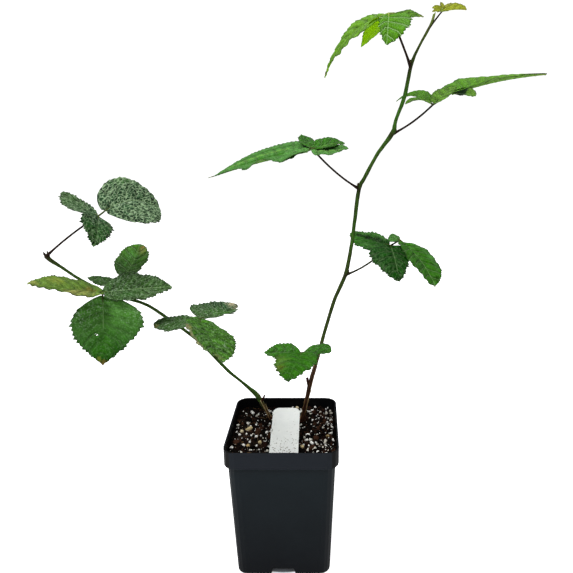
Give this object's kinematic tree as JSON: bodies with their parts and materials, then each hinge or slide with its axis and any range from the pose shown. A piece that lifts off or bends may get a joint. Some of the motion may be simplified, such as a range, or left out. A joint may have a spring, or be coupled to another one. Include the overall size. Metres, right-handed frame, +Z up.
{
  "type": "potted bramble",
  "caption": "Young thornless bramble with two arching canes and toothed compound leaves, in a small square black nursery pot with a blank label.",
  "frame": {"origin": "centre of the pot's flat underside", "axes": "+Z up, +X to the side of the long right cane, +Y along the way the label leans back"},
  "size_m": [0.2674, 0.0848, 0.3076],
  "materials": {
    "pot_plastic": "matt black",
    "potting_mix": "damp peat and bark with white mineral grains",
    "label_plastic": "matt white",
    "cane_bark": "smooth green bark, brown at the foot",
    "leaf": "satin"
  },
  "bodies": {
    "root": {"pot": "pot_plastic", "potting_mix": "potting_mix", "plant_label": "label_plastic", "cane_right": "cane_bark", "cane_left": "cane_bark", "leaf_left_low": "leaf", "leaf_left_middle": "leaf", "leaf_left_rear": "leaf", "leaf_left_end": "leaf", "leaf_right_low": "leaf", "leaf_right_middle": "leaf", "leaf_crossing": "leaf", "leaf_right_high": "leaf", "leaf_top": "leaf", "leaf_tip": "leaf"}
  },
  "joints": []
}
